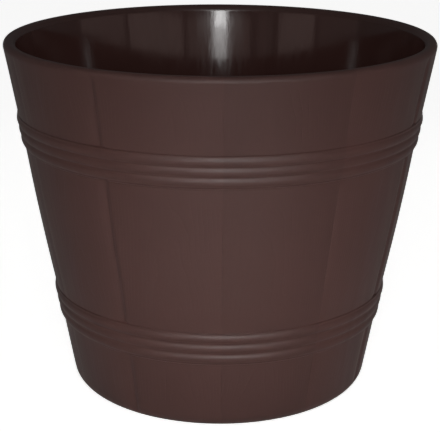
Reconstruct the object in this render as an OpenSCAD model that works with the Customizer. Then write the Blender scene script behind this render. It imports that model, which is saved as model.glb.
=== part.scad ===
// Barrel style plastic planter: a tapered tub moulded as staves held by two triple beaded hoops,
// with a rounded rim, a notched foot ring and four push in drain plugs seated from inside.
// The ground is z = 0 and the tub's axis is Z. The front of the pot faces -Y.

/* [Tub] */
// Outside diameter across the rim
rim_diameter = 305; // [260:1:360]
// Height from the ground to the top of the rim
pot_height = 254; // [200:1:340]
// Outside diameter where the line of the wall meets the ground
base_diameter = 215.2; // [180:0.1:250]
// Wall thickness, level, at the ground line
wall_base = 5.4; // [3:0.1:6.5]
// Width of the rim over its rounded top
rim_width = 8.7; // [7:0.1:12]
// Radius of the rim's outer edge
rim_outer_round = 3.5; // [2:0.1:4]
// Radius of the rim's inner edge
rim_inner_round = 5; // [2:0.1:5]
// Outside radius between wall and base
base_round = 11; // [7:0.5:16]
// Inside radius between wall and floor
floor_round = 11; // [6:0.5:14]
// How far the wall swells out between the hoops
wall_swell = 0.7; // [0:0.05:1.5]

/* [Staves] */
// Number of staves round the tub
stave_count = 11; // [6:1:20]
// Turn of the first deep joint from the front, towards the right
stave_turn = -31.8; // [-60:0.1:60]
// Staves from one deep joint to the next
deep_every = 3; // [1:1:4]
// Depth of a deep joint
joint_depth = 1.2; // [0.6:0.1:1.8]
// Width of a deep joint at the wall's surface
joint_width = 3.6; // [1.5:0.1:5]
// Depth of the other joints as a share of a deep one
shallow_share = 0.45; // [0.2:0.05:1]
// Height of the plain rim above the tops of the joints
rim_plain = 5; // [3.5:0.5:20]

/* [Hoops] */
// Height of the upper hoop's middle bead
upper_hoop_height = 191.7; // [160:0.1:215]
// Spacing of the upper hoop's beads
upper_bead_pitch = 6.9; // [6:0.1:9]
// Height of the lower hoop's middle bead
lower_hoop_height = 63.5; // [45:0.1:100]
// Spacing of the lower hoop's beads
lower_bead_pitch = 7.7; // [6:0.1:10]
// Beads on each hoop
bead_count = 3; // [1:1:5]
// How far the flat of a hoop stands proud of the wall
hoop_proud = 0.7; // [0.4:0.05:1.5]
// How far a bead stands proud of the hoop's flat
bead_proud = 1; // [0.5:0.05:1.8]
// Radius of a bead
bead_round = 3; // [2:0.1:3.4]
// Flat of the hoop beyond the middle of its outer beads
hoop_margin = 4.7; // [2.5:0.1:7]

/* [Base] */
// Height of the underside above the ground
foot_height = 3.5; // [2.5:0.1:6]
// Width of the foot ring
foot_width = 6; // [4:0.5:12]
// Thickness of the floor
floor_thickness = 4; // [3:0.1:6]
// Number of drain notches through the foot ring
notch_count = 4; // [2:1:6]
// Width of a drain notch
notch_width = 16; // [8:1:24]
// Height of a drain notch
notch_height = 2.2; // [1:0.1:2.4]
// Number of ribs under the floor
rib_count = 8; // [4:4:12]
// Thickness of a rib
rib_thickness = 2.4; // [1.5:0.1:4]
// Height of the ribs and of the hub ring
rib_height = 2; // [1:0.1:2.2]
// Radius of the hub ring that the ribs spring from
hub_radius = 16; // [12:0.5:20]
// Diameter of the mould gate's dimple
gate_diameter = 12; // [8:0.5:16]
// Depth of the mould gate's dimple
gate_depth = 0.8; // [0.4:0.1:1.5]

/* [Drain plugs] */
// Radius of the circle that the drain holes lie on
drain_circle = 52; // [42:1:60]
// Diameter of a drain hole
drain_hole = 14; // [10:0.5:18]
// Wall of the boss round a drain hole
boss_wall = 3.5; // [2:0.1:5]
// Height of the boss under the floor
boss_height = 1.5; // [0.8:0.1:2]
// Radial clearance of a plug in its hole
plug_clearance = 0.06; // [0.02:0.01:0.1]
// Reach of the plug's flange past its hole
flange_reach = 4; // [2:0.1:6]
// Thickness of the plug's flange
flange_thickness = 1.8; // [1.2:0.1:3]
// Rounding of the flange's upper edge
flange_round = 0.6; // [0.3:0.1:1]
// Wall of the plug's hollow shank
shank_wall = 1.8; // [1.2:0.1:3]
// Gap between the shank's end and the ground
shank_lift = 0.8; // [0.4:0.1:1.2]
// Lead in at the shank's end
shank_lead = 0.9; // [0.4:0.1:1.2]
// Height of the plug's grip above its flange
grip_height = 7; // [5:0.5:9]
// Thickness of the grip
grip_thickness = 2.6; // [2:0.1:4]
// Depth of the grooves that ridge the grip
grip_groove = 0.35; // [0.2:0.05:0.6]

/* [Hidden] */
$fn = 96;

// Direction of the front, and the colours of the two plastics
front = -90;
tub_colour = "#4e3a36";
plug_colour = "#2f2a29";

// How far one solid runs into its neighbour where the two are joined, and past a face where it cuts
bond = 1;
past = 2;
// Least flat between the two rounded edges of the rim
least_flat = 0.1;
// Steps in the drawn arc of a rounded edge, and in the swelling of the wall
arc_steps = 10;
swell_steps = 4;

// Outer edge of the rim: its centre, and the wall's taper as the tangent from the base line to it
rim_outer_centre = [rim_diameter / 2 - rim_outer_round, pot_height - rim_outer_round];
outer_run = rim_outer_centre[0] - base_diameter / 2;
outer_taper = atan2(outer_run, rim_outer_centre[1])
    + asin(rim_outer_round / norm([outer_run, rim_outer_centre[1]]));

// Inner edge of the rim, and the taper of the inside, which is a little steeper
inner_round = min(rim_inner_round, rim_width - rim_outer_round - least_flat);
rim_inner_centre = [rim_diameter / 2 - rim_width + inner_round, pot_height - inner_round];
inner_base = base_diameter / 2 - wall_base;
inner_run = rim_inner_centre[0] - inner_base;
inner_taper = atan2(inner_run, rim_inner_centre[1])
    - asin(inner_round / norm([inner_run, rim_inner_centre[1]]));

// Radius of the wall's outside and of its inside at a height
function outer_radius(z) = base_diameter / 2 + z * tan(outer_taper);
function inner_radius(z) = inner_base + z * tan(inner_taper);

floor_top = foot_height + floor_thickness;
base_centre = [outer_radius(base_round) - base_round / cos(outer_taper), base_round];
floor_centre = [
    inner_radius(floor_top + floor_round) - floor_round / cos(inner_taper),
    floor_top + floor_round
];
foot_inner = base_centre[0] - foot_width;

hole_radius = drain_hole / 2;
boss_radius = hole_radius + boss_wall;
flange_radius = hole_radius + flange_reach;
shank_radius = hole_radius - plug_clearance;
flange_top = floor_top + flange_thickness;
// The grip is a segment of a disc as wide as the shank
grip_radius = (pow(grip_height, 2) + pow(shank_radius, 2)) / (2 * grip_height);

// Points of an arc from one angle to another
function arc(centre, radius, from, to) = [
    for (i = [0 : arc_steps])
        let (a = from + (to - from) * i / arc_steps)
        centre + radius * [cos(a), sin(a)]
];

// A point at a height on the wall's outside, moved out square to it
function off_wall(z, out) = [outer_radius(z), z] + out * [cos(outer_taper), -sin(outer_taper)];

// Distance from a hoop's middle bead to the edge of its flat
function hoop_reach(pitch) = (bead_count - 1) / 2 * pitch + hoop_margin;

// The wall's swelling, from the top of the lower hoop to the foot of the upper one
swell_low = lower_hoop_height + hoop_reach(lower_bead_pitch);
swell_high = upper_hoop_height - hoop_reach(upper_bead_pitch);
swell = [
    for (i = [0 : swell_steps])
        let (share = i / swell_steps)
        off_wall(swell_low + share * (swell_high - swell_low), 4 * share * (1 - share) * wall_swell)
];

// Half section of the tub, from the underside out round the wall and back over the rim
module tub_section() {
    polygon(concat(
        [[0, foot_height], [foot_inner, foot_height], [foot_inner, 0]],
        arc(base_centre, base_round, -90, -outer_taper),
        swell,
        arc(rim_outer_centre, rim_outer_round, -outer_taper, 90),
        arc(rim_inner_centre, inner_round, 90, 180 - inner_taper),
        arc(floor_centre, floor_round, -inner_taper, -90),
        [[0, floor_top]]
    ));
}

// Half section of one hoop: a flat band with rounded beads along it, rooted in the wall
module hoop_section(height, pitch) {
    low = height - hoop_reach(pitch);
    high = height + hoop_reach(pitch);
    root = wall_base / 2;
    polygon([
        off_wall(low, -root),
        off_wall(low, 0),
        off_wall(low + hoop_proud, hoop_proud),
        off_wall(high - hoop_proud, hoop_proud),
        off_wall(high, 0),
        off_wall(high, -root)
    ]);
    for (i = [0 : bead_count - 1]) {
        middle = low + hoop_margin + i * pitch;
        intersection() {
            translate(off_wall(middle, hoop_proud + bead_proud - bead_round)) circle(bead_round);
            polygon([
                off_wall(middle - bead_round, -root / 2),
                off_wall(middle - bead_round, 2 * bead_round),
                off_wall(middle + bead_round, 2 * bead_round),
                off_wall(middle + bead_round, -root / 2)
            ]);
        }
    }
}

// A V groove that runs up the wall between two heights, its depth taken from a line proud of the wall
module groove(low, high, proud, depth) {
    half = joint_width / 2 * (depth + past) / joint_depth;
    start = off_wall(low, proud);
    translate([start[0], 0, start[1]]) rotate([0, outer_taper, 0])
        linear_extrude((high - low) / cos(outer_taper))
            polygon([[-depth, 0], [past, -half], [past, half]]);
}

// The joints between staves, in three runs whose ends meet under the hoops. The middle run is
// straight, and lies halfway out of the wall's swelling
module stave_joints() {
    for (i = [0 : stave_count - 1]) {
        depth = joint_depth * (i % deep_every == 0 ? 1 : shallow_share);
        rotate(front + stave_turn + i * 360 / stave_count) {
            groove(0, lower_hoop_height, 0, depth);
            groove(lower_hoop_height, upper_hoop_height, wall_swell / 2, depth);
            groove(upper_hoop_height, pot_height - rim_plain, 0, depth);
        }
    }
}

// Notches that let water out under the foot ring, midway between the plugs
module foot_notches() {
    for (i = [0 : notch_count - 1]) {
        rotate(front + (i + 0.5) * 360 / notch_count)
            translate([foot_inner - past, -notch_width / 2, -past])
                cube([foot_width + base_round, notch_width, notch_height + past]);
    }
}

// Ribs that run from the hub ring to the foot ring
module ribs() {
    for (i = [0 : rib_count - 1]) {
        rotate(front + (i + 0.5) * 360 / rib_count)
            translate([hub_radius, -rib_thickness / 2, foot_height - rib_height])
                cube([foot_inner + bond - hub_radius, rib_thickness, rib_height + bond]);
    }
}

// The hub ring round the mould gate
module hub_ring() {
    difference() {
        translate([0, 0, foot_height - rib_height])
            cylinder(r = hub_radius + rib_thickness / 2, h = rib_height + bond);
        translate([0, 0, foot_height - rib_height - past])
            cylinder(r = hub_radius - rib_thickness / 2, h = rib_height + past);
    }
}

// Places its children at one drain hole, turned from the front
module at_drain(turn) {
    rotate(front + turn) translate([drain_circle, 0, 0]) children();
}

module pot_shell() {
    color(tub_colour) difference() {
        union() {
            difference() {
                rotate_extrude() tub_section();
                stave_joints();
                foot_notches();
            }
            rotate_extrude() hoop_section(upper_hoop_height, upper_bead_pitch);
            rotate_extrude() hoop_section(lower_hoop_height, lower_bead_pitch);
            ribs();
            hub_ring();
            for (turn = [0 : 90 : 270]) {
                at_drain(turn) translate([0, 0, foot_height - boss_height])
                    cylinder(r = boss_radius, h = boss_height + bond);
            }
        }
        for (turn = [0 : 90 : 270]) {
            at_drain(turn) cylinder(r = hole_radius, h = floor_top + past);
        }
        translate([0, 0, foot_height - past]) cylinder(d = gate_diameter, h = gate_depth + past);
    }
}

// Half section of a plug: flange, shank with its lead in, and the hollow that lets it flex
module plug_section() {
    bore = shank_radius - shank_wall;
    polygon([
        [0, floor_top],
        [bore, floor_top],
        [bore, shank_lift],
        [shank_radius - shank_lead, shank_lift],
        [shank_radius, shank_lift + shank_lead],
        [shank_radius, floor_top],
        [flange_radius, floor_top],
        [flange_radius, flange_top - flange_round],
        [flange_radius - flange_round, flange_top],
        [0, flange_top]
    ]);
}

// The upright grip: a segment of a disc, ridged on both faces so that wet fingers hold it
module grip() {
    ridges = 3;
    spacing = grip_height / (ridges + 1);
    difference() {
        intersection() {
            translate([0, 0, flange_top + grip_height - grip_radius]) rotate([90, 0, 0])
                cylinder(r = grip_radius, h = grip_thickness, center = true);
            translate([-flange_radius, -grip_thickness, flange_top - flange_thickness / 2])
                cube([2 * flange_radius, 2 * grip_thickness, grip_height + flange_thickness]);
        }
        for (side = [-1, 1], i = [1 : ridges]) {
            translate([0, side * grip_thickness / 2, flange_top + i * spacing]) rotate([0, 90, 0])
                cylinder(r = grip_groove, h = 2 * flange_radius, center = true);
        }
    }
}

module drain_plug(turn) {
    color(plug_colour) at_drain(turn) {
        rotate_extrude() plug_section();
        rotate(90) grip();
    }
}

module drain_plug_front() { drain_plug(0); }
module drain_plug_right() { drain_plug(90); }
module drain_plug_back() { drain_plug(180); }
module drain_plug_left() { drain_plug(270); }

pot_shell();
drain_plug_front();
drain_plug_right();
drain_plug_back();
drain_plug_left();
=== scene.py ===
# Barrel style plastic planter: the moulded tub and its four drain plugs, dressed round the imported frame.
# Lengths are metres in Blender. Sizes of the tub, the plugs and the finishes are in millimetres, as on
# a mould drawing, and those of the studio are in metres.
import math

import bpy
from mathutils import Matrix, Vector


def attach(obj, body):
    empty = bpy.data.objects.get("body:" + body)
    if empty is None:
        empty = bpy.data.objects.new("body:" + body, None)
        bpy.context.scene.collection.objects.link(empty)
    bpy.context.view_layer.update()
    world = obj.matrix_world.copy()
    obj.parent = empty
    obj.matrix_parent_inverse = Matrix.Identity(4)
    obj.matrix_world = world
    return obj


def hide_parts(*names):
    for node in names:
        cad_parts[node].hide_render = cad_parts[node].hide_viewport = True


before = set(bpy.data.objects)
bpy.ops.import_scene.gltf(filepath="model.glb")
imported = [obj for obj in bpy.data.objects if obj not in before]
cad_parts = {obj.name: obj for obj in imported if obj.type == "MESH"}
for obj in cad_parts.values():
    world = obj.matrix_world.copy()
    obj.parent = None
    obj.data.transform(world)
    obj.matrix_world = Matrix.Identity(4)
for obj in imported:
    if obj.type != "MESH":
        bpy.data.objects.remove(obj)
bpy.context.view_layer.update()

MM = 0.001
FULL_TURN = 2 * math.pi
# The front of the pot, in degrees from +X
FRONT = -90

# Tub
RIM_RADIUS = 152.5
POT_HEIGHT = 254
BASE_RADIUS = 107.6
WALL_BASE = 5.4
WALL_SWELL = 0.7
RIM_WIDTH = 8.7
RIM_OUTER_ROUND = 3.5
RIM_INNER_ROUND = 5
BASE_ROUND = 11
FLOOR_ROUND = 11

# Staves, and the turn of the first deep joint from +X. The wall falls into a joint over its lead and rises
# out of it over its width
STAVES = 11
DEEP_EVERY = 3
FIRST_JOINT = math.radians(FRONT - 31.8)
JOINT_DEPTH = 0.95
JOINT_LEAD = 8
JOINT_WIDTH = 3.6
SHALLOW_SHARE = 0.2
RIM_PLAIN = 5

# A stave's own shape: how far its edges lean, the crest by its left edge and its place in joint widths,
# and the ripple. All of it fades out over the last height here beside a hoop, the base and the rim
STAVE_LEAN = 0.1
STAVE_CREST = 0.15
CREST_PLACE = 1.5
RIPPLE_DEPTH = 0.25
RIPPLE_LENGTH = 45
STAVE_FADE = 14

# Hoops: height of the middle bead and spacing of the beads
HOOPS = [(63.5, 7.7), (191.7, 6.9)]
BEADS = 3
HOOP_PROUD = 0.7
BEAD_PROUD = 1
BEAD_ROUND = 5.2
HOOP_MARGIN = 4.7

# Base
FOOT_HEIGHT = 3.5
FOOT_WIDTH = 6
FLOOR_THICKNESS = 4
NOTCHES = 4
NOTCH_WIDTH = 16
NOTCH_HEIGHT = 2.2
RIBS = 8
RIB_THICKNESS = 2.4
RIB_HEIGHT = 2
HUB_RADIUS = 16
GATE_RADIUS = 6
GATE_DEPTH = 0.8
BASE_EDGE_ROUND = 0.3
# How deep the ribs and bosses reach into the floor, and the ribs into the foot ring, so that they are one
FLOOR_BOND = 1.2
FOOT_BOND = 1
# The middle of a drain hole's cut, as a share of the height of the floor's top
HOLE_CUT_MIDDLE = 0.65

# Drain holes and plugs
DRAINS = 4
DRAIN_CIRCLE = 52
HOLE_RADIUS = 7
BOSS_WALL = 3.5
BOSS_HEIGHT = 1.5
PLUG_CLEARANCE = 0.06
FLANGE_REACH = 4
FLANGE_THICKNESS = 1.8
SHANK_WALL = 1.8
SHANK_LIFT = 0.8
SHANK_LEAD = 0.9
GRIP_HEIGHT = 7
GRIP_THICKNESS = 2.6
GRIP_GROOVE = 0.35
GRIP_RIDGES = 3
GRIP_EDGE_ROUND = 0.6
PLUG_EDGE_ROUND = 0.25
# A block larger than the grip, which cuts it out of a coin
GRIP_BLOCK = 30

# Fineness of the meshes: columns of a stave and how they crowd to its joints, height of a row of the wall,
# and steps, rows and sides of the rest
STAVE_COLUMNS = 34
STAVE_CROWDING = 0.9
ROW_HEIGHT = 4
BEAD_STEPS = 12
RIM_STEPS = 14
BASE_STEPS = 16
FLOOR_STEPS = 12
INNER_ROWS = 16
FLOOR_RINGS = 4
BASE_EDGE_STEPS = 2
PLUG_EDGE_STEPS = 3
GRIP_EDGE_STEPS = 5
ROUND_SIDES = 64
PLUG_COLUMNS = 96
GROOVE_SIDES = 16
# Points of a section, of the turned seam and of a finished mesh that are closer than these are one point
STATION_GAP = 0.01
SEAM_GAP = 0.001
SLIVER = 0.002
# An edge sharper than this stays crisp
CREASE = math.radians(38)

# Where the two lines of the wall run: tangents to the rounded edges of the rim
outer_edge = (RIM_RADIUS - RIM_OUTER_ROUND, POT_HEIGHT - RIM_OUTER_ROUND)
inner_edge = (RIM_RADIUS - RIM_WIDTH + RIM_INNER_ROUND, POT_HEIGHT - RIM_INNER_ROUND)
outer_run = outer_edge[0] - BASE_RADIUS
inner_run = inner_edge[0] - BASE_RADIUS + WALL_BASE
OUTER_TAPER = math.atan2(outer_run, outer_edge[1]) + math.asin(
    RIM_OUTER_ROUND / math.hypot(outer_run, outer_edge[1])
)
INNER_TAPER = math.atan2(inner_run, inner_edge[1]) - math.asin(
    RIM_INNER_ROUND / math.hypot(inner_run, inner_edge[1])
)
FLOOR_TOP = FOOT_HEIGHT + FLOOR_THICKNESS
FLANGE_TOP = FLOOR_TOP + FLANGE_THICKNESS


def outer_radius(z):
    """Radius of the wall's outside at a height."""
    return BASE_RADIUS + z * math.tan(OUTER_TAPER)


def inner_radius(z):
    """Radius of the wall's inside at a height."""
    return BASE_RADIUS - WALL_BASE + z * math.tan(INNER_TAPER)


def off_wall(z, out):
    """A point of the outside at a height, moved out square to the wall."""
    return (outer_radius(z) + out * math.cos(OUTER_TAPER), z - out * math.sin(OUTER_TAPER))


def hoop_reach(pitch):
    """Distance from a hoop's middle bead to the edge of its flat."""
    return (BEADS - 1) / 2 * pitch + HOOP_MARGIN


def swell(z):
    """How far the wall swells out at a height, which it does between the hoops."""
    low = HOOPS[0][0] + hoop_reach(HOOPS[0][1])
    high = HOOPS[1][0] - hoop_reach(HOOPS[1][1])
    share = (z - low) / (high - low)
    return max(0, 4 * share * (1 - share)) * WALL_SWELL


# Centre of the base's rounding, and the inner side of the foot ring
BASE_CENTRE = (outer_radius(BASE_ROUND) - BASE_ROUND / math.cos(OUTER_TAPER), BASE_ROUND)
FOOT_INNER = BASE_CENTRE[0] - FOOT_WIDTH


def arc(centre, radius, start, end, steps):
    """Points of an arc, with its angles in degrees."""
    turns = [math.radians(start + (end - start) * i / steps) for i in range(steps + 1)]
    return [(centre[0] + radius * math.cos(a), centre[1] + radius * math.sin(a)) for a in turns]


def rounded(corners, radius, steps):
    """A run of corners with each inner one rounded, as a mould's own edges are."""
    run = [corners[0]]
    for before, corner, after in zip(corners, corners[1:], corners[2:]):
        corner = Vector(corner)
        way_in = (Vector(before) - corner).normalized()
        way_out = (Vector(after) - corner).normalized()
        half = way_in.angle(way_out) / 2
        centre = corner + (way_in + way_out).normalized() * radius / math.sin(half)
        first = corner + way_in * radius / math.tan(half) - centre
        last = corner + way_out * radius / math.tan(half) - centre
        for i in range(steps + 1):
            run.append(tuple(centre + (first.lerp(last, i / steps)).normalized() * radius))
    return run + [corners[-1]]


def add(tree, kind, inputs=None, **settings):
    """Adds a node with its settings. An input takes a value, a node's first output, (node, output's name)
    or a list of such outputs."""
    node = tree.nodes.new(kind)
    for name, value in settings.items():
        setattr(node, name, value)
    for key, given in (inputs or {}).items():
        for value in given if isinstance(given, list) else [given]:
            if isinstance(value, bpy.types.Node):
                value = next(s for s in value.outputs if s.enabled)
            elif isinstance(value, tuple) and isinstance(value[0], bpy.types.Node):
                value = value[0].outputs[value[1]]
            if isinstance(value, bpy.types.NodeSocket):
                tree.links.new(value, node.inputs[key])
            else:
                node.inputs[key].default_value = value
    return node


def new_tree(name, sizes):
    """A geometry node tree with a geometry and named sizes going in. Returns it with its input node."""
    tree = bpy.data.node_groups.new(name, "GeometryNodeTree")
    tree.interface.new_socket("Geometry", in_out="INPUT", socket_type="NodeSocketGeometry")
    for label, kind in sizes.items():
        tree.interface.new_socket(label, in_out="INPUT", socket_type="NodeSocket" + kind)
    tree.interface.new_socket("Geometry", in_out="OUTPUT", socket_type="NodeSocketGeometry")
    return tree, add(tree, "NodeGroupInput")


def end_tree(tree, geometry, material):
    """Ends a tree: one real mesh with no needle-thin faces, smooth, in its material."""
    real = add(tree, "GeometryNodeRealizeInstances", {"Geometry": geometry})
    clean = add(tree, "GeometryNodeMergeByDistance", {"Geometry": real, "Distance": SLIVER * MM})
    smooth = add(tree, "GeometryNodeSetShadeSmooth", {"Geometry": clean})
    dressed = add(tree, "GeometryNodeSetMaterial", {"Geometry": smooth, "Material": material})
    add(tree, "NodeGroupOutput", {"Geometry": dressed})


def use_tree(obj, tree, sizes):
    """Puts a tree on an object and sets its sizes by their sockets' identifiers."""
    modifier = obj.modifiers.new(tree.name, "NODES")
    modifier.node_group = tree
    for socket in tree.interface.items_tree:
        if socket.in_out == "INPUT" and socket.name in sizes:
            modifier[socket.identifier] = sizes[socket.name]


def as_plain_mesh(obj, name):
    """The evaluated object as a plain mesh object of its own, with crisp edges kept crisp."""
    evaluated = obj.evaluated_get(bpy.context.evaluated_depsgraph_get())
    mesh = bpy.data.meshes.new_from_object(evaluated)
    mesh.name = name
    mesh.set_sharp_from_angle(angle=CREASE)
    bpy.data.objects.remove(obj)
    piece = bpy.data.objects.new(name, mesh)
    bpy.context.scene.collection.objects.link(piece)
    return piece


def section_object(name, stations, attributes):
    """A half section in the XZ plane: its points in order, with a value of each attribute at each point."""
    mesh = bpy.data.meshes.new(name)
    points = [(r * MM, 0, z * MM) for r, z in stations]
    mesh.from_pydata(points, [(i, i + 1) for i in range(len(points) - 1)], [])
    for label, values in attributes.items():
        mesh.attributes.new(label, "FLOAT", "POINT").data.foreach_set("value", values)
    obj = bpy.data.objects.new(name, mesh)
    bpy.context.scene.collection.objects.link(obj)
    return obj


def linear(hex_colour):
    """sRGB hex to linear RGBA."""
    parts = [int(hex_colour[i : i + 2], 16) / 255 for i in (1, 3, 5)]
    return tuple(c / 12.92 if c <= 0.04045 else ((c + 0.055) / 1.055) ** 2.4 for c in parts) + (1,)


# Materials

# Most of a noise lies between these values
NOISE_RANGE = {"From Min": 0.3, "From Max": 0.7}

# The tub's wood grain: streaks, arches set off centre by up to the heart's reach, and their lines' warp
STREAK_WIDTH = 5
STREAK_LENGTH = 70
STREAK_DEPTH = 0.12
ARCH_WIDTH = 12
ARCH_LENGTH = 42
ARCH_DEPTH = 0.05
HEART_REACH = 17
WARP_WIDTH = 22
WARP_LENGTH = 60
# By how many arches the warp moves a line, and the height of the wave, from -1 to 1, at which a line starts
WARP_ARCHES = 3.2
LINE_START = 0.82
# Steps through the noise from stave to stave, so that each is cut from its own board
STREAK_BOARD = 7.3
WARP_BOARD = 3.1
# Spark grain. The real one, of about a tenth of a millimetre, is too fine to show and is drawn coarser
SPARK_SIZE = 1.1
SPARK_DEPTH = 0.02
# Draw marks on the inside
DRAW_WIDTH = 2.5
DRAW_LENGTH = 45
DRAW_DEPTH = 0.03
# Uneven colour, and the least and most of it, which is a chance value and a noise added up
CLOUD_SIZE = 50
TONE_LOW = 0.4
TONE_HIGH = 1.6
# Roughness from the low to the high of a noise. How far below the top the rim's scuffing starts and is full
SATIN = (0.48, 0.4)
POLISHED = (0.07, 0.14)
SCUFF_START = 5
SCUFF_FULL = 2
SCUFFED = 0.58
# The specular level as moulded and where scuffed
GLOSS = 0.42
SCUFFED_GLOSS = 0.5

# The plugs' uneven colour, their faint grain, and their roughness from the low to the high of the noise
PLUG_CLOUD_SIZE = 6
PLUG_GRAIN_SIZE = 0.5
PLUG_GRAIN_DEPTH = 0.015
WAXY = (0.5, 0.62)

# The paper's fibres are too fine to show, so they are drawn as clumps of this size and depth
FIBRE_SIZE = 3
FIBRE_DEPTH = 0.05
# How much the paper glows to the camera, which fades it to white, and to a mirroring surface
PAPER_GLOW = 0.84
MIRRORED_GLOW = 0.06


def new_material(name):
    """An empty material. Returns it with its tree."""
    material = bpy.data.materials.new(name)
    material.use_nodes = True
    material.node_tree.nodes.clear()
    return material, material.node_tree


def moulded_polypropylene():
    """Polypropylene, injection moulded. The cavity side has a shallow wood grain and a satin finish, so the
    outside is soft and slightly streaked. The core is polished, so the inside mirrors its surroundings."""
    material, tree = new_material("moulded_polypropylene")
    place = add(tree, "ShaderNodeTexCoord")
    axes = add(tree, "ShaderNodeSeparateXYZ", {0: (place, "Object")})
    grain_share = add(tree, "ShaderNodeAttribute", attribute_name="stave")
    inside = add(tree, "ShaderNodeAttribute", attribute_name="inside")

    # Which stave a point is on, how far across it in mm, and how high in mm
    turn = add(tree, "ShaderNodeMath", {0: (axes, "Y"), 1: (axes, "X")}, operation="ARCTAN2")
    from_joint = add(tree, "ShaderNodeMath", {0: turn, 1: FIRST_JOINT - FULL_TURN}, operation="SUBTRACT")
    in_staves = add(tree, "ShaderNodeMath", {0: from_joint, 1: STAVES / FULL_TURN}, operation="MULTIPLY")
    counted = add(tree, "ShaderNodeMath", {0: in_staves}, operation="FLOOR")
    stave = add(tree, "ShaderNodeMath", {0: counted, 1: STAVES}, operation="FLOORED_MODULO")
    across = add(tree, "ShaderNodeMath", {0: in_staves}, operation="FRACT")
    stave_width = FULL_TURN * outer_radius(POT_HEIGHT / 2) / STAVES
    across_mm = add(
        tree, "ShaderNodeMath", {0: across, 1: stave_width, 2: -stave_width / 2}, operation="MULTIPLY_ADD"
    )
    up_mm = add(tree, "ShaderNodeMath", {0: (axes, "Z"), 1: 1 / MM}, operation="MULTIPLY")

    # Straight grain: narrow streaks that run up the wall, each stave from its own board
    streak_place = add(tree, "ShaderNodeCombineXYZ", {"X": across_mm, "Y": up_mm, "Z": stave})
    streak_scale = add(
        tree,
        "ShaderNodeVectorMath",
        {0: streak_place, 1: (1 / STREAK_WIDTH, 1 / STREAK_LENGTH, STREAK_BOARD)},
        operation="MULTIPLY",
    )
    streaks = add(tree, "ShaderNodeTexNoise", {"Vector": streak_scale, "Scale": 1, "Detail": 3})

    # Cathedral grain: nested arches set off centre on each stave, their lines narrow towards its edges
    chance = add(tree, "ShaderNodeTexWhiteNoise", {"W": stave}, noise_dimensions="1D")
    off_centre = add(
        tree,
        "ShaderNodeMath",
        {0: (chance, "Value"), 1: 2 * HEART_REACH, 2: -HEART_REACH},
        operation="MULTIPLY_ADD",
    )
    from_heart = add(tree, "ShaderNodeMath", {0: across_mm, 1: off_centre}, operation="SUBTRACT")
    warp_place = add(
        tree,
        "ShaderNodeVectorMath",
        {0: streak_place, 1: (1 / WARP_WIDTH, 1 / WARP_LENGTH, WARP_BOARD)},
        operation="MULTIPLY",
    )
    warp = add(tree, "ShaderNodeTexNoise", {"Vector": warp_place, "Scale": 1, "Detail": 2})
    arch = add(tree, "ShaderNodeMath", {0: from_heart, 1: 1 / ARCH_WIDTH}, operation="MULTIPLY")
    arch_rise = add(tree, "ShaderNodeMath", {0: arch, 1: arch}, operation="MULTIPLY")
    ring = add(
        tree, "ShaderNodeMath", {0: up_mm, 1: 1 / ARCH_LENGTH, 2: arch_rise}, operation="MULTIPLY_ADD"
    )
    warped = add(
        tree, "ShaderNodeMath", {0: (warp, "Fac"), 1: WARP_ARCHES, 2: ring}, operation="MULTIPLY_ADD"
    )
    wave = add(tree, "ShaderNodeMath", {0: warped, 1: FULL_TURN}, operation="MULTIPLY")
    crest = add(tree, "ShaderNodeMath", {0: wave}, operation="COSINE")
    line_share = add(
        tree,
        "ShaderNodeMapRange",
        {"Value": crest, "From Min": LINE_START},
        interpolation_type="SMOOTHSTEP",
    )

    # Depths in mm: the streaks stand up, the arches are cut in, and a spark grain lies over them
    streak_depth = add(tree, "ShaderNodeMath", {0: (streaks, "Fac"), 1: STREAK_DEPTH}, operation="MULTIPLY")
    arch_depth = add(
        tree, "ShaderNodeMath", {0: line_share, 1: -ARCH_DEPTH, 2: streak_depth}, operation="MULTIPLY_ADD"
    )
    wood = add(tree, "ShaderNodeMath", {0: arch_depth, 1: (grain_share, "Fac")}, operation="MULTIPLY")
    spark = add(
        tree,
        "ShaderNodeTexNoise",
        {"Vector": (place, "Object"), "Scale": 1 / (SPARK_SIZE * MM), "Detail": 2},
    )
    outside = add(tree, "ShaderNodeMath", {0: 1, 1: (inside, "Fac")}, operation="SUBTRACT")
    spark_depth = add(tree, "ShaderNodeMath", {0: (spark, "Fac"), 1: SPARK_DEPTH}, operation="MULTIPLY")
    outside_depth = add(
        tree, "ShaderNodeMath", {0: spark_depth, 1: outside, 2: wood}, operation="MULTIPLY_ADD"
    )

    # The inside has upright draw marks, where the core slid out
    draw_place = add(
        tree,
        "ShaderNodeVectorMath",
        {
            0: (place, "Object"),
            1: (1 / (DRAW_WIDTH * MM), 1 / (DRAW_WIDTH * MM), 1 / (DRAW_LENGTH * MM)),
        },
        operation="MULTIPLY",
    )
    marks = add(tree, "ShaderNodeTexNoise", {"Vector": draw_place, "Scale": 1, "Detail": 3})
    marks_depth = add(tree, "ShaderNodeMath", {0: (marks, "Fac"), 1: DRAW_DEPTH}, operation="MULTIPLY")
    depth = add(
        tree,
        "ShaderNodeMath",
        {0: marks_depth, 1: (inside, "Fac"), 2: outside_depth},
        operation="MULTIPLY_ADD",
    )
    bump = add(tree, "ShaderNodeBump", {"Height": depth, "Distance": MM})

    # Colour: the masterbatch is a little uneven, in soft clouds and from stave to stave
    cloud = add(
        tree,
        "ShaderNodeTexNoise",
        {"Vector": (place, "Object"), "Scale": 1 / (CLOUD_SIZE * MM), "Detail": 3},
    )
    tone = add(tree, "ShaderNodeMath", {0: (chance, "Value"), 1: (cloud, "Fac")}, operation="ADD")
    toned = add(tree, "ShaderNodeMapRange", {"Value": tone, "From Min": TONE_LOW, "From Max": TONE_HIGH})
    colour = add(
        tree,
        "ShaderNodeMix",
        {"Factor": toned, "A": linear("#472e2a"), "B": linear("#4f3430")},
        data_type="RGBA",
    )

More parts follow.
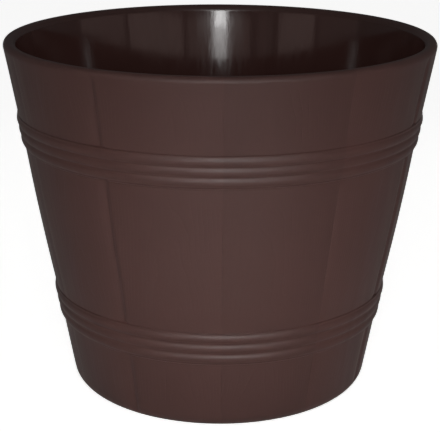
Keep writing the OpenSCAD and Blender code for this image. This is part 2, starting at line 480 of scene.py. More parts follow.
    # Gloss: satin outside, with the streaks a little smoother, and polished inside
    satin = add(
        tree,
        "ShaderNodeMapRange",
        {"Value": (streaks, "Fac"), **NOISE_RANGE, "To Min": SATIN[0], "To Max": SATIN[1]},
    )
    polish = add(
        tree,
        "ShaderNodeMapRange",
        {"Value": (marks, "Fac"), **NOISE_RANGE, "To Min": POLISHED[0], "To Max": POLISHED[1]},
    )
    moulded = add(tree, "ShaderNodeMix", {"Factor": (inside, "Fac"), "A": satin, "B": polish})
    # The top of the rim is dull where pots stacked in each other have scuffed it
    scuffed = add(
        tree,
        "ShaderNodeMapRange",
        {"Value": up_mm, "From Min": POT_HEIGHT - SCUFF_START, "From Max": POT_HEIGHT - SCUFF_FULL},
    )
    roughness = add(tree, "ShaderNodeMix", {"Factor": scuffed, "A": moulded, "B": SCUFFED})
    gloss = add(tree, "ShaderNodeMapRange", {"Value": scuffed, "To Min": GLOSS, "To Max": SCUFFED_GLOSS})
    surface = add(
        tree,
        "ShaderNodeBsdfPrincipled",
        {
            "Base Color": (colour, "Result"),
            "Roughness": roughness,
            "IOR": 1.49,
            "Specular IOR Level": gloss,
            "Normal": bump,
        },
    )
    add(tree, "ShaderNodeOutputMaterial", {"Surface": surface})
    return material


def soft_polyethylene():
    """Low density polyethylene, moulded. It is soft and waxy, so it has a broad sheen and a faint grain."""
    material, tree = new_material("soft_polyethylene")
    place = add(tree, "ShaderNodeTexCoord")
    cloud = add(
        tree,
        "ShaderNodeTexNoise",
        {"Vector": (place, "Object"), "Scale": 1 / (PLUG_CLOUD_SIZE * MM), "Detail": 3},
    )
    grain = add(
        tree,
        "ShaderNodeTexNoise",
        {"Vector": (place, "Object"), "Scale": 1 / (PLUG_GRAIN_SIZE * MM), "Detail": 2},
    )
    colour = add(
        tree,
        "ShaderNodeMix",
        {"Factor": (cloud, "Fac"), "A": linear("#292422"), "B": linear("#36302e")},
        data_type="RGBA",
    )
    roughness = add(
        tree,
        "ShaderNodeMapRange",
        {"Value": (cloud, "Fac"), **NOISE_RANGE, "To Min": WAXY[0], "To Max": WAXY[1]},
    )
    bump = add(tree, "ShaderNodeBump", {"Height": (grain, "Fac"), "Distance": PLUG_GRAIN_DEPTH * MM})
    surface = add(
        tree,
        "ShaderNodeBsdfPrincipled",
        {"Base Color": (colour, "Result"), "Roughness": roughness, "IOR": 1.51, "Normal": bump},
    )
    add(tree, "ShaderNodeOutputMaterial", {"Surface": surface})
    return material


def studio_paper():
    """Pale studio paper for the floor. To the camera it fades to white and keeps the pot's faint shadow."""
    material, tree = new_material("studio_paper")
    place = add(tree, "ShaderNodeTexCoord")
    fibre = add(
        tree,
        "ShaderNodeTexNoise",
        {"Vector": (place, "Object"), "Scale": 1 / (FIBRE_SIZE * MM), "Detail": 2},
    )
    bump = add(tree, "ShaderNodeBump", {"Height": (fibre, "Fac"), "Distance": FIBRE_DEPTH * MM})
    path = add(tree, "ShaderNodeLightPath")
    mirrored = add(
        tree, "ShaderNodeMath", {0: (path, "Is Glossy Ray"), 1: MIRRORED_GLOW}, operation="MULTIPLY"
    )
    glow = add(
        tree,
        "ShaderNodeMath",
        {0: (path, "Is Camera Ray"), 1: PAPER_GLOW, 2: mirrored},
        operation="MULTIPLY_ADD",
    )
    paper = add(
        tree,
        "ShaderNodeBsdfPrincipled",
        {
            "Base Color": linear("#e6e5e3"),
            "Roughness": 0.9,
            "Normal": bump,
            "Emission Color": (1, 1, 1, 1),
            "Emission Strength": glow,
        },
    )
    add(tree, "ShaderNodeOutputMaterial", {"Surface": paper})
    return material


# Tub


def turned_section(material):
    """Tree that turns a half section round the Z axis and presses the joints between staves into it.

    The section's points carry three values: joint, how deep a deep joint is there, stave, how much of the
    stave's own shape shows there, and inside, which the finish reads."""
    tree, size = new_tree(
        "Turned section",
        {
            "Staves": "Int",
            "Columns in a stave": "Int",
            "Crowding": "Float",
            "First joint": "Float",
            "Deep every": "Int",
            "Shallow share": "Float",
            "Joint lead": "Float",
            "Joint width": "Float",
            "Taper": "Float",
            "Lean": "Float",
            "Crest": "Float",
            "Ripple": "Float",
        },
    )
    section = (size, "Geometry")
    rows = add(tree, "GeometryNodeAttributeDomainSize", {"Geometry": section})
    columns = add(
        tree,
        "FunctionNodeIntegerMath",
        {0: (size, "Staves"), 1: (size, "Columns in a stave"), 2: 1},
        operation="MULTIPLY_ADD",
    )
    grid = add(tree, "GeometryNodeMeshGrid", {"Vertices X": columns, "Vertices Y": (rows, "Point Count")})
    index = add(tree, "GeometryNodeInputIndex")
    column = add(
        tree, "FunctionNodeIntegerMath", {0: index, 1: (rows, "Point Count")}, operation="DIVIDE_FLOOR"
    )
    row = add(tree, "FunctionNodeIntegerMath", {0: index, 1: (rows, "Point Count")}, operation="MODULO")
    stave = add(
        tree,
        "FunctionNodeIntegerMath",
        {0: column, 1: (size, "Columns in a stave")},
        operation="DIVIDE_FLOOR",
    )
    step = add(
        tree, "FunctionNodeIntegerMath", {0: column, 1: (size, "Columns in a stave")}, operation="MODULO"
    )

    # Columns stand closer together beside the joints
    share = add(tree, "ShaderNodeMath", {0: step, 1: (size, "Columns in a stave")}, operation="DIVIDE")
    wave = add(tree, "ShaderNodeMath", {0: share, 1: FULL_TURN}, operation="MULTIPLY")
    sine = add(tree, "ShaderNodeMath", {0: wave}, operation="SINE")
    shift = add(tree, "ShaderNodeMath", {0: sine, 1: (size, "Crowding")}, operation="MULTIPLY")
    across = add(tree, "ShaderNodeMath", {0: shift, 1: -1 / FULL_TURN, 2: share}, operation="MULTIPLY_ADD")
    pitch = add(tree, "ShaderNodeMath", {0: FULL_TURN, 1: (size, "Staves")}, operation="DIVIDE")
    in_staves = add(tree, "ShaderNodeMath", {0: stave, 1: across}, operation="ADD")
    turn = add(
        tree, "ShaderNodeMath", {0: in_staves, 1: pitch, 2: (size, "First joint")}, operation="MULTIPLY_ADD"
    )

    # The section's point and its values in this row
    place = add(
        tree,
        "GeometryNodeSampleIndex",
        {"Geometry": section, "Value": add(tree, "GeometryNodeInputPosition"), "Index": row},
        data_type="FLOAT_VECTOR",
    )
    axes = add(tree, "ShaderNodeSeparateXYZ", {0: place})
    sampled = {}
    for label in ("joint", "stave", "inside"):
        named = add(tree, "GeometryNodeInputNamedAttribute", {"Name": label}, data_type="FLOAT")
        sampled[label] = add(
            tree,
            "GeometryNodeSampleIndex",
            {"Geometry": section, "Value": named, "Index": row},
            data_type="FLOAT",
        )

    # The nearest joint: how far along the wall it is, and whether it is a deep one
    nearest = add(tree, "ShaderNodeMath", {0: across}, operation="ROUND")
    off = add(tree, "ShaderNodeMath", {0: across, 1: nearest}, operation="SUBTRACT")
    off_turn = add(tree, "ShaderNodeMath", {0: off, 1: pitch}, operation="MULTIPLY")
    along = add(tree, "ShaderNodeMath", {0: off_turn, 1: (axes, "X")}, operation="MULTIPLY")
    joint = add(tree, "FunctionNodeIntegerMath", {0: stave, 1: nearest}, operation="ADD")
    counted = add(tree, "FunctionNodeIntegerMath", {0: joint, 1: (size, "Staves")}, operation="MODULO")
    turn_of_deep = add(
        tree, "FunctionNodeIntegerMath", {0: counted, 1: (size, "Deep every")}, operation="MODULO"
    )
    is_deep = add(
        tree, "FunctionNodeCompare", {"A": turn_of_deep, "B": 0}, data_type="INT", operation="EQUAL"
    )
    depth_share = add(
        tree,
        "GeometryNodeSwitch",
        {"Switch": is_deep, "False": (size, "Shallow share"), "True": 1.0},
        input_type="FLOAT",
    )
    # A stave's right edge falls gently into the joint, and the next one's left edge rises steeply out of it
    lead = add(tree, "ShaderNodeMath", {0: (size, "Joint lead"), 1: -1}, operation="MULTIPLY")
    fall = add(
        tree,
        "ShaderNodeMapRange",
        {"Value": along, "From Min": lead, "From Max": 0},
        interpolation_type="SMOOTHSTEP",
    )
    rise = add(
        tree,
        "ShaderNodeMapRange",
        {"Value": along, "From Min": 0, "From Max": (size, "Joint width"), "To Min": 1, "To Max": 0},
        interpolation_type="SMOOTHSTEP",
    )
    groove = add(tree, "ShaderNodeMath", {0: fall, 1: rise}, operation="MINIMUM")
    depth = add(tree, "ShaderNodeMath", {0: sampled["joint"], 1: depth_share}, operation="MULTIPLY")
    sunk = add(tree, "ShaderNodeMath", {0: groove, 1: depth}, operation="MULTIPLY")

    # A stave leans: proud at its left edge, and low where the next one laps past its right edge
    lean_share = add(tree, "ShaderNodeMath", {0: across, 1: -2, 2: 1}, operation="MULTIPLY_ADD")
    lean = add(tree, "ShaderNodeMath", {0: lean_share, 1: (size, "Lean")}, operation="MULTIPLY")
    # Beside its left edge it is swaged up into a soft crest
    crest_place = add(
        tree,
        "ShaderNodeMath",
        {0: (size, "Joint width"), 1: -CREST_PLACE, 2: along},
        operation="MULTIPLY_ADD",
    )
    crest_span = add(tree, "ShaderNodeMath", {0: crest_place, 1: (size, "Joint width")}, operation="DIVIDE")
    crest_off = add(tree, "ShaderNodeMath", {0: crest_span}, operation="ABSOLUTE")
    crest_fall = add(
        tree,
        "ShaderNodeMapRange",
        {"Value": crest_off, "To Min": 1, "To Max": 0},
        interpolation_type="SMOOTHERSTEP",
    )
    crest_height = add(tree, "ShaderNodeMath", {0: (size, "Crest"), 1: depth_share}, operation="MULTIPLY")
    crest = add(tree, "ShaderNodeMath", {0: crest_fall, 1: crest_height, 2: lean}, operation="MULTIPLY_ADD")

    # The wall ripples a little where the thick plastic sank as it cooled
    spot = add(tree, "ShaderNodeVectorRotate", {"Vector": place, "Angle": turn}, rotation_type="Z_AXIS")
    sink = add(tree, "ShaderNodeTexNoise", {"Vector": spot, "Scale": 1 / (RIPPLE_LENGTH * MM), "Detail": 1})
    sink_depth = add(tree, "ShaderNodeMath", {0: (sink, "Fac"), 1: 0.5}, operation="SUBTRACT")
    rippled = add(
        tree, "ShaderNodeMath", {0: sink_depth, 1: (size, "Ripple"), 2: crest}, operation="MULTIPLY_ADD"
    )
    shaped = add(tree, "ShaderNodeMath", {0: rippled, 1: sampled["stave"]}, operation="MULTIPLY")
    out = add(tree, "ShaderNodeMath", {0: shaped, 1: sunk}, operation="SUBTRACT")

    # Out square to the wall, then round to its turn
    taper_cosine = add(tree, "ShaderNodeMath", {0: (size, "Taper")}, operation="COSINE")
    taper_sine = add(tree, "ShaderNodeMath", {0: (size, "Taper")}, operation="SINE")
    radius = add(
        tree, "ShaderNodeMath", {0: out, 1: taper_cosine, 2: (axes, "X")}, operation="MULTIPLY_ADD"
    )
    drop = add(tree, "ShaderNodeMath", {0: out, 1: taper_sine}, operation="MULTIPLY")
    height = add(tree, "ShaderNodeMath", {0: (axes, "Z"), 1: drop}, operation="SUBTRACT")
    moved = add(
        tree,
        "ShaderNodeVectorRotate",
        {"Vector": add(tree, "ShaderNodeCombineXYZ", {"X": radius, "Z": height}), "Angle": turn},
        rotation_type="Z_AXIS",
    )
    shell = add(tree, "GeometryNodeSetPosition", {"Geometry": grid, "Position": moved})
    for label in ("stave", "inside"):
        shell = add(
            tree,
            "GeometryNodeStoreNamedAttribute",
            {"Geometry": shell, "Name": label, "Value": sampled[label]},
            data_type="FLOAT",
            domain="POINT",
        )
    closed = add(tree, "GeometryNodeMergeByDistance", {"Geometry": shell, "Distance": SEAM_GAP * MM})
    end_tree(tree, closed, material)
    return tree


def tub_stations():
    """The tub's half section, from the middle of the underside round the wall and back to the middle of the
    floor. Returns its points and the three values at each of them."""
    points, values = [], {"joint": [], "stave": [], "inside": []}
    outer_degrees = math.degrees(OUTER_TAPER)
    inner_degrees = math.degrees(INNER_TAPER)

    def lay(run, joint=0.0, stave=0.0, inside=0.0):
        for i, point in enumerate(run):
            if points and math.dist(point, points[-1]) < STATION_GAP:
                continue
            points.append(point)
            values["joint"].append((joint[i] if isinstance(joint, list) else joint) * MM)
            values["stave"].append(stave[i] if isinstance(stave, list) else stave)
            values["inside"].append(inside)

    # Underside: gate dimple, hub ring, floor, inner side and sole of the foot ring
    hub_low = FOOT_HEIGHT - RIB_HEIGHT
    hub_in = HUB_RADIUS - RIB_THICKNESS / 2
    hub_out = HUB_RADIUS + RIB_THICKNESS / 2
    lay(
        rounded(
            [
                (0, FOOT_HEIGHT + GATE_DEPTH),
                (GATE_RADIUS, FOOT_HEIGHT + GATE_DEPTH),
                (GATE_RADIUS, FOOT_HEIGHT),
                (hub_in, FOOT_HEIGHT),
                (hub_in, hub_low),
                (hub_out, hub_low),
                (hub_out, FOOT_HEIGHT),
                (FOOT_INNER, FOOT_HEIGHT),
                (FOOT_INNER, 0),
                (BASE_CENTRE[0], 0),
            ],
            BASE_EDGE_ROUND,
            BASE_EDGE_STEPS,
        )
    )

    # Base rounding. A joint fades out where the rounding falls away from the wall's line
    turns = [-90 + (90 - outer_degrees) * i / BASE_STEPS for i in range(BASE_STEPS + 1)]
    fall = [BASE_ROUND * (1 - math.cos(math.radians(a + outer_degrees))) for a in turns]
    lay(
        arc(BASE_CENTRE, BASE_ROUND, -90, -outer_degrees, BASE_STEPS),
        joint=[max(0.0, JOINT_DEPTH - f) for f in fall],
    )

    # Wall and hoops, from the bottom up. A stave's own shape fades out beside a hoop, the base and the rim
    def lay_wall(low, high, joint_end):
        rows = round((high - low) / ROW_HEIGHT)
        heights = [low + (high - low) * i / rows for i in range(rows + 1)]
        near = [min(1, (z - low) / STAVE_FADE, (high - z) / STAVE_FADE) for z in heights]
        lay(
            [off_wall(z, swell(z)) for z in heights],
            joint=[JOINT_DEPTH * max(0, min(1, (joint_end - z) / JOINT_WIDTH)) for z in heights],
            stave=[n * n * (3 - 2 * n) for n in near],
        )

    low = points[-1][1]
    for middle, pitch in HOOPS:
        spread = hoop_reach(pitch)
        lay_wall(low, middle - spread, POT_HEIGHT)
        # The crown of a bead stands proud of the hoop's flat, and the flat proud of the wall
        sink = BEAD_ROUND - BEAD_PROUD
        half = math.sqrt(BEAD_ROUND**2 - sink**2)
        reach = math.degrees(math.asin(half / BEAD_ROUND))
        lay([off_wall(middle - spread + HOOP_PROUD, HOOP_PROUD)])
        for bead in range(BEADS):
            at = middle + (bead - (BEADS - 1) / 2) * pitch
            centre = off_wall(at, HOOP_PROUD - sink)
            lay(arc(centre, BEAD_ROUND, -outer_degrees - reach, -outer_degrees + reach, BEAD_STEPS))
        lay([off_wall(middle + spread - HOOP_PROUD, HOOP_PROUD)])
        low = middle + spread
    rim_low = outer_edge[1] - RIM_OUTER_ROUND * math.sin(OUTER_TAPER)
    lay_wall(low, rim_low, POT_HEIGHT - RIM_PLAIN)

    # The rim's two rounded edges
    lay(arc(outer_edge, RIM_OUTER_ROUND, -outer_degrees, 90, RIM_STEPS))
    lay(arc(inner_edge, RIM_INNER_ROUND, 90, 180 - inner_degrees, RIM_STEPS), inside=1)

    # Inner wall, floor rounding and floor
    floor_centre = (
        inner_radius(FLOOR_TOP + FLOOR_ROUND) - FLOOR_ROUND / math.cos(INNER_TAPER),
        FLOOR_TOP + FLOOR_ROUND,
    )
    top = points[-1][1]
    bottom = floor_centre[1] - FLOOR_ROUND * math.sin(INNER_TAPER)
    heights = [top + (bottom - top) * i / INNER_ROWS for i in range(1, INNER_ROWS + 1)]
    lay([(inner_radius(z), z) for z in heights], inside=1)
    lay(arc(floor_centre, FLOOR_ROUND, -inner_degrees, -90, FLOOR_STEPS), inside=1)
    rings = [floor_centre[0] * (1 - i / FLOOR_RINGS) for i in range(1, FLOOR_RINGS + 1)]
    lay([(ring, FLOOR_TOP) for ring in rings], inside=1)
    return points, values


def footed_base(material):
    """Tree that adds the ribs and bosses under the floor and cuts the drain holes and foot notches."""
    tree, size = new_tree(
        "Footed base",
        {
            "Drains": "Int",
            "Drain circle": "Float",
            "Hole radius": "Float",
            "Boss radius": "Float",
            "Boss height": "Float",
            "Ribs": "Int",
            "Rib start": "Float",
            "Rib end": "Float",
            "Rib thickness": "Float",
            "Rib height": "Float",
            "Notches": "Int",
            "Notch start": "Float",
            "Notch size": "Vector",
            "Underside": "Float",
            "Floor top": "Float",
        },
    )

    # Things in a ring: which thing, how many, at what radius, and turned by what share of their spacing
    def ring_of(block, count, radius, share):
        round_line = add(tree, "GeometryNodeMeshCircle", {"Vertices": count, "Radius": radius})
        spot = add(tree, "GeometryNodeInputPosition")
        way = add(tree, "FunctionNodeAlignRotationToVector", {"Vector": spot}, axis="X")
        placed = add(
            tree, "GeometryNodeInstanceOnPoints", {"Points": round_line, "Instance": block, "Rotation": way}
        )
        share_turn = add(tree, "ShaderNodeMath", {0: share * FULL_TURN, 1: count}, operation="DIVIDE")
        turn = add(tree, "ShaderNodeMath", {0: share_turn, 1: math.radians(FRONT)}, operation="ADD")
        rotation = add(tree, "ShaderNodeCombineXYZ", {"Z": turn})
        turned = add(tree, "GeometryNodeTransform", {"Geometry": placed, "Rotation": rotation})
        return add(tree, "GeometryNodeRealizeInstances", {"Geometry": turned})

    bond = FLOOR_BOND * MM

    # Raises a thing so that it hangs from the underside by its height and is sunk into it by the bond
    def hung(thing, height):
        drop = add(tree, "ShaderNodeMath", {0: bond, 1: height}, operation="SUBTRACT")
        level = add(
            tree, "ShaderNodeMath", {0: drop, 1: 0.5, 2: (size, "Underside")}, operation="MULTIPLY_ADD"
        )
        place = add(tree, "ShaderNodeCombineXYZ", {"Z": level})
        return add(tree, "GeometryNodeTransform", {"Geometry": thing, "Translation": place})

    boss_tall = add(tree, "ShaderNodeMath", {0: (size, "Boss height"), 1: bond}, operation="ADD")
    boss = add(
        tree,
        "GeometryNodeMeshCylinder",
        {"Vertices": ROUND_SIDES, "Radius": (size, "Boss radius"), "Depth": boss_tall},
    )
    boss_up = hung(boss, (size, "Boss height"))
    bosses = ring_of(boss_up, (size, "Drains"), (size, "Drain circle"), 0)

    rib_run = add(
        tree, "ShaderNodeMath", {0: (size, "Rib end"), 1: (size, "Rib start")}, operation="SUBTRACT"
    )
    rib_tall = add(tree, "ShaderNodeMath", {0: (size, "Rib height"), 1: bond}, operation="ADD")
    rib_size = add(
        tree, "ShaderNodeCombineXYZ", {"X": rib_run, "Y": (size, "Rib thickness"), "Z": rib_tall}
    )
    rib = add(tree, "GeometryNodeMeshCube", {"Size": rib_size})
    rib_up = hung(rib, (size, "Rib height"))
    rib_middle = add(
        tree, "ShaderNodeMath", {0: rib_run, 1: 0.5, 2: (size, "Rib start")}, operation="MULTIPLY_ADD"
    )
    ribs = ring_of(rib_up, (size, "Ribs"), rib_middle, 0.5)

    added = add(
        tree,
        "GeometryNodeMeshBoolean",
        {"Mesh 2": [(size, "Geometry"), bosses, ribs]},
        operation="UNION",
        solver="MANIFOLD",
    )

    hole = add(
        tree,
        "GeometryNodeMeshCylinder",
        {"Vertices": ROUND_SIDES, "Radius": (size, "Hole radius"), "Depth": (size, "Floor top")},
    )
    hole_up = add(
        tree,
        "GeometryNodeTransform",
        {"Geometry": hole, "Translation": (0, 0, HOLE_CUT_MIDDLE * FLOOR_TOP * MM)},
    )
    holes = ring_of(hole_up, (size, "Drains"), (size, "Drain circle"), 0)
    notch = add(tree, "GeometryNodeMeshCube", {"Size": (size, "Notch size")})
    notches = ring_of(notch, (size, "Notches"), (size, "Notch start"), 0.5)
    cut = add(
        tree,
        "GeometryNodeMeshBoolean",
        {"Mesh 1": added, "Mesh 2": [holes, notches]},
        operation="DIFFERENCE",
        solver="MANIFOLD",
    )
    end_tree(tree, cut, material)
    return tree


def make_tub(material):
    """The moulded tub as one closed mesh."""
    points, values = tub_stations()
    obj = section_object("tub_section", points, values)
    use_tree(
        obj,
        turned_section(material),
        {
            "Staves": STAVES,
            "Columns in a stave": STAVE_COLUMNS,
            "Crowding": STAVE_CROWDING,
            "First joint": FIRST_JOINT,
            "Deep every": DEEP_EVERY,
            "Shallow share": SHALLOW_SHARE,
            "Joint lead": JOINT_LEAD * MM,
            "Joint width": JOINT_WIDTH * MM,
            "Taper": OUTER_TAPER,
            "Lean": STAVE_LEAN * MM,
            "Crest": STAVE_CREST * MM,
            "Ripple": RIPPLE_DEPTH * MM,
        },
    )
    notch_run = 2 * (FOOT_WIDTH + BASE_ROUND)
    use_tree(
        obj,
        footed_base(material),
        {
            "Drains": DRAINS,
            "Drain circle": DRAIN_CIRCLE * MM,
            "Hole radius": HOLE_RADIUS * MM,
            "Boss radius": (HOLE_RADIUS + BOSS_WALL) * MM,
            "Boss height": BOSS_HEIGHT * MM,
            "Ribs": RIBS,
            "Rib start": HUB_RADIUS * MM,
            "Rib end": (FOOT_INNER + FOOT_BOND) * MM,
            "Rib thickness": RIB_THICKNESS * MM,
            "Rib height": RIB_HEIGHT * MM,
            "Notches": NOTCHES,
            "Notch start": (FOOT_INNER + FOOT_WIDTH + BASE_ROUND - notch_run / 2) * MM,
            "Notch size": (notch_run * MM, NOTCH_WIDTH * MM, 2 * NOTCH_HEIGHT * MM),
            "Underside": FOOT_HEIGHT * MM,
            "Floor top": FLOOR_TOP * MM,
        },
    )
    return as_plain_mesh(obj, "stave_tub")


# Drain plugs


def ridged_grip(material):
    """Tree that stands a coin shaped grip on a turned plug and ridges both its faces."""
    tree, size = new_tree(
        "Ridged grip",
        {
            "Coin": "Object",
            "Coin height": "Float",
            "Thickness": "Float",
            "Root": "Float",
            "Ridges": "Int",
            "First ridge": "Float",
            "Ridge spacing": "Float",
            "Groove": "Float",
        },
    )
    turned = add(tree, "GeometryNodeObjectInfo", {"Object": (size, "Coin")})
    upright = add(
        tree,
        "GeometryNodeTransform",
        {
            "Geometry": (turned, "Geometry"),
            "Rotation": (math.pi / 2, 0, 0),
            "Translation": add(tree, "ShaderNodeCombineXYZ", {"Z": (size, "Coin height")}),
        },
    )
    # A block that stands at the grip's root keeps only the top of the coin
    block_size = GRIP_BLOCK * MM
    block = add(tree, "GeometryNodeMeshCube", {"Size": (block_size, block_size, block_size)})
    block_up = add(tree, "ShaderNodeMath", {0: (size, "Root"), 1: block_size / 2}, operation="ADD")
    placed = add(
        tree,
        "GeometryNodeTransform",
        {"Geometry": block, "Translation": add(tree, "ShaderNodeCombineXYZ", {"Z": block_up})},
    )
    coin_top = add(
        tree,
        "GeometryNodeMeshBoolean",
        {"Mesh 2": [upright, placed]},
        operation="INTERSECT",
        solver="MANIFOLD",
    )
    # Grooves lie across both faces
    rod = add(
        tree,
        "GeometryNodeMeshCylinder",
        {"Vertices": GROOVE_SIDES, "Radius": (size, "Groove"), "Depth": block_size},
    )
    lying = add(tree, "GeometryNodeTransform", {"Geometry": rod, "Rotation": (0, math.pi / 2, 0)})
    grooves = []
    for side in (-0.5, 0.5):
        beside = add(tree, "ShaderNodeMath", {0: (size, "Thickness"), 1: side}, operation="MULTIPLY")
        start = add(tree, "ShaderNodeCombineXYZ", {"Y": beside, "Z": (size, "First ridge")})
        climb = add(tree, "ShaderNodeCombineXYZ", {"Z": (size, "Ridge spacing")})
        line = add(
            tree,
            "GeometryNodeMeshLine",
            {"Count": (size, "Ridges"), "Start Location": start, "Offset": climb},
        )
        laid = add(tree, "GeometryNodeInstanceOnPoints", {"Points": line, "Instance": lying})
        grooves.append(add(tree, "GeometryNodeRealizeInstances", {"Geometry": laid}))
    ridged = add(
        tree,
        "GeometryNodeMeshBoolean",
        {"Mesh 1": coin_top, "Mesh 2": grooves},
        operation="DIFFERENCE",
        solver="MANIFOLD",
    )
    whole = add(
        tree,
        "GeometryNodeMeshBoolean",
        {"Mesh 2": [(size, "Geometry"), ridged]},
        operation="UNION",
        solver="MANIFOLD",
    )
    end_tree(tree, whole, material)
    return tree


def turned_object(name, stations, columns, tree):
    """A plain turned object, with no joints in it."""
    none = [0.0] * len(stations)
    obj = section_object(name, stations, {"joint": none, "stave": none, "inside": none})
    plain = {
        "Staves": 1,
        "Columns in a stave": columns,
        "Crowding": 0.0,
        "Deep every": 1,
        "Shallow share": 1.0,
        "Joint lead": MM,
        "Joint width": MM,
    }
    use_tree(obj, tree, plain)
    return obj


def make_plug(material):
    """One drain plug, upright on the Z axis."""
    shank = HOLE_RADIUS - PLUG_CLEARANCE
    bore = shank - SHANK_WALL
    flange = HOLE_RADIUS + FLANGE_REACH
    stations = rounded(
        [
            (0, FLOOR_TOP),
            (bore, FLOOR_TOP),
            (bore, SHANK_LIFT),
            (shank - SHANK_LEAD, SHANK_LIFT),
            (shank, SHANK_LIFT + SHANK_LEAD),
            (shank, FLOOR_TOP),
            (flange, FLOOR_TOP),
            (flange, FLANGE_TOP),
            (0, FLANGE_TOP),
        ],
        PLUG_EDGE_ROUND,
        PLUG_EDGE_STEPS,
    )
    turning = turned_section(material)
    body = turned_object("plug_section", stations, PLUG_COLUMNS, turning)
    grip_radius = (GRIP_HEIGHT**2 + shank**2) / (2 * GRIP_HEIGHT)
    half = GRIP_THICKNESS / 2
    coin_edge = [(0, -half), (grip_radius, -half), (grip_radius, half), (0, half)]
    coin_stations = rounded(coin_edge, GRIP_EDGE_ROUND, GRIP_EDGE_STEPS)
    coin = turned_object("coin_section", coin_stations, PLUG_COLUMNS, turning)
    spacing = GRIP_HEIGHT / (GRIP_RIDGES + 1)
    use_tree(
        body,
        ridged_grip(material),
        {
            "Coin": coin,
            "Coin height": (FLANGE_TOP + GRIP_HEIGHT - grip_radius) * MM,
            "Thickness": GRIP_THICKNESS * MM,
            "Root": (FLANGE_TOP - FLANGE_THICKNESS / 2) * MM,
            "Ridges": GRIP_RIDGES,
            "First ridge": (FLANGE_TOP + spacing) * MM,
            "Ridge spacing": spacing * MM,
            "Groove": GRIP_GROOVE * MM,
        },
    )
    plug = as_plain_mesh(body, "drain_plug")
    bpy.data.objects.remove(coin)
    return plug


# Making the pieces

tub = make_tub(moulded_polypropylene())
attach(tub, "pot")
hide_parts("pot_shell")

pattern = make_plug(soft_polyethylene())
for i, side in enumerate(("front", "right", "back", "left")):
    plug = bpy.data.objects.new(f"plug_{side}_moulded", pattern.data.copy())
    bpy.context.scene.collection.objects.link(plug)
    turn = math.radians(FRONT + 360 / DRAINS * i)
    out = Matrix.Rotation(turn, 4, "Z") @ Matrix.Translation((DRAIN_CIRCLE * MM, 0, 0))
    # The grip lies square to the spoke from the tub's axis
    plug.data.transform(out @ Matrix.Rotation(math.pi / 2, 4, "Z"))
    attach(plug, f"plug_{side}")
    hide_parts(f"drain_plug_{side}")
bpy.data.objects.remove(pattern)

# Studio

floor_reach = 6
floor_corners = [(-1, -1), (1, -1), (1, 1), (-1, 1)]
floor_mesh = bpy.data.meshes.new("studio_floor")
floor_points = [(floor_reach * x, floor_reach * y, 0) for x, y in floor_corners]
floor_mesh.from_pydata(floor_points, [], [(0, 1, 2, 3)])
floor_mesh.materials.append(studio_paper())
studio_floor = bpy.data.objects.new("studio_floor", floor_mesh)
bpy.context.scene.collection.objects.link(studio_floor)


def soft_light(name, width, height, place, aim, radiance, spread=180, colour="#ffffff"):
    """A rectangular soft light of a given radiance, where 1 is white. A grid narrows its spread."""
    lamp = bpy.data.lights.new(name, "AREA")
    lamp.shape = "RECTANGLE"
    lamp.color = linear(colour)[:3]
    lamp.size = width
    lamp.size_y = height
    lamp.energy = radiance * math.pi * width * height
    lamp.spread = math.radians(spread)
    obj = bpy.data.objects.new(name, lamp)
    obj.location = place
    obj.rotation_euler = (Vector(aim) - Vector(place)).to_track_quat("-Z", "Y").to_euler()
    bpy.context.scene.collection.objects.link(obj)


def stand(turn, distance, height):
    """A place round the pot: degrees from the camera's side towards +X, distance and height."""
    turn = math.radians(turn)
    return (distance * math.sin(turn), -distance * math.cos(turn), height)


# The key, which the inner wall mirrors: a strip box and a card under it, each in front of a dimmer frame,
# and two wide cards behind. Each has its width, height, distance, level and radiance
strip_level = 0.527
card_level = 0.393
for name, width, height, distance, level, radiance in (
    ("strip_box", 0.11, 0.21, 0.9, strip_level, 12),
    ("strip_frame", 0.165, 0.22, 0.91, strip_level, 5),
    ("card", 0.12, 0.054, 0.9, card_level, 4),
    ("card_frame", 0.19, 0.06, 0.91, card_level, 2.6),
    ("wide_card", 0.3, 0.06, 0.93, 0.45, 0.8),
    ("wider_card", 0.5, 0.09, 0.95, 0.455, 0.5),
):
    soft_light(name, width, height, (0, -distance, level), (0, 0, level), radiance)

# The fill: low panels with grids. Three are in an arc in front, aimed at the pot's lower half, and two are
# behind, under the height of the rim so that the lip stays dark
panel_size = (0.5, 0.1)
panel_distance = 1.3
front_height = 0.2
front_aim = (0, 0, 0.09)
front_spread = 27
for turn, radiance in ((-22, 0.44), (2, 0.74), (26, 0.62)):
    place = stand(turn, panel_distance, front_height)
    soft_light("low_panel", *panel_size, place, front_aim, radiance, front_spread)
back_height = 0.14
back_aim = (0, 0, 0.12)
back_radiance = 0.7
back_spread = 34
for turn in (165, 195):
    place = stand(turn, panel_distance, back_height)
    soft_light("back_panel", *panel_size, place, back_aim, back_radiance, back_spread)

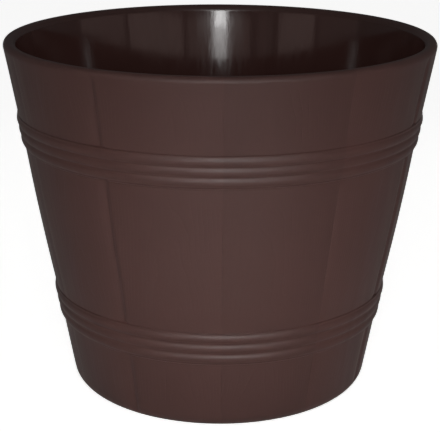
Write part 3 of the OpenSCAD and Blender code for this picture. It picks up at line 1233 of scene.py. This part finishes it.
# A lamp over the table lights it just in front of the pot, and the table lights the wall from below
table_lamp_place = (0, -0.36, 0.9)
table_lamp_aim = (0, -0.3, 0)
table_lamp_spread = 20
soft_light("table_lamp", 0.5, 0.12, table_lamp_place, table_lamp_aim, 0.5, table_lamp_spread)

# The room on the camera's side in warm light, which the inside mirrors: pale walls and darker openings, each
# with its turn, width and radiance
room_distance = 1.7
room_level = 0.53
card_height = 0.24
room_aim = (0, 0, 0.25)
for turn, width, radiance in (
    (-80, 0.9, 0.15),
    (-50, 0.72, 0.6),
    (-29, 0.3, 0.2),
    (1, 1.25, 0.4),
    (42, 1.1, 0.62),
    (79, 1, 0.35),
):
    place = stand(turn, room_distance, room_level)
    soft_light("room_card", width, card_height, place, room_aim, radiance, colour="#ffdcd4")

# What the pot sees all round is dim, and what the camera sees is white
room_strength = 0.11
world = bpy.data.worlds.new("studio")
bpy.context.scene.world = world
world.use_nodes = True
world.node_tree.nodes.clear()
sky = add(world.node_tree, "ShaderNodeBackground", {"Color": (1, 1, 1, 1), "Strength": room_strength})
seen = add(world.node_tree, "ShaderNodeBackground", {"Color": (1, 1, 1, 1), "Strength": 1})
path = add(world.node_tree, "ShaderNodeLightPath")
either = add(world.node_tree, "ShaderNodeMixShader", {"Fac": (path, "Is Camera Ray"), 1: sky, 2: seen})
add(world.node_tree, "ShaderNodeOutputWorld", {"Surface": either})

# The camera of the photograph, in front of the pot, looking down on it and a little out of level
photo_width = 440
focal_pixels = 1316.7
camera_place = (0, -0.9294, 0.4101)
degrees_down = 17.389
degrees_out_of_level = 0.213
camera_data = bpy.data.cameras.new("camera")
camera_data.sensor_width = 36
camera_data.lens = focal_pixels / photo_width * camera_data.sensor_width
half_pixel = 0.5 / photo_width
camera_data.shift_x = half_pixel
camera_data.shift_y = half_pixel
camera_data.clip_start = 0.05
camera = bpy.data.objects.new("camera", camera_data)
down = Matrix.Rotation(math.radians(90 - degrees_down), 4, "X")
out_of_level = Matrix.Rotation(math.radians(degrees_out_of_level), 4, "Z")
camera.matrix_world = Matrix.Translation(camera_place) @ down @ out_of_level
bpy.context.scene.collection.objects.link(camera)
bpy.context.scene.camera = camera
bpy.context.scene.view_settings.view_transform = "Standard"

bpy.context.view_layer.update()
